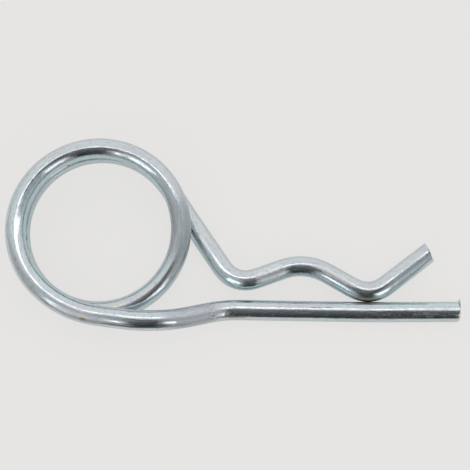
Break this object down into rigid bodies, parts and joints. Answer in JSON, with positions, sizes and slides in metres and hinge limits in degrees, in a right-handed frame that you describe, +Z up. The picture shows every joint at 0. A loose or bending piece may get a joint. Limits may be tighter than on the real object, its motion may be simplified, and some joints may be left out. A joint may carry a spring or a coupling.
{
  "type": "hitch clip",
  "caption": "R clip of round spring wire: a straight leg for a cross hole, a close-wound coil, and a wavy leg that snaps over the shaft, lying as it comes to rest.",
  "frame": {"origin": "where the axis of the coil meets the surface that the clip lies on", "axes": "+X from the coil towards the tips of the legs, +Z up from the surface that the clip lies on"},
  "size_m": [0.0895, 0.0393, 0.0112],
  "materials": {
    "zinc_plated_wire": "bright zinc plate on drawn spring steel wire, faint blue-grey passivation, fine draw lines"
  },
  "bodies": {
    "root": {"r_clip": "zinc_plated_wire"}
  },
  "joints": []
}
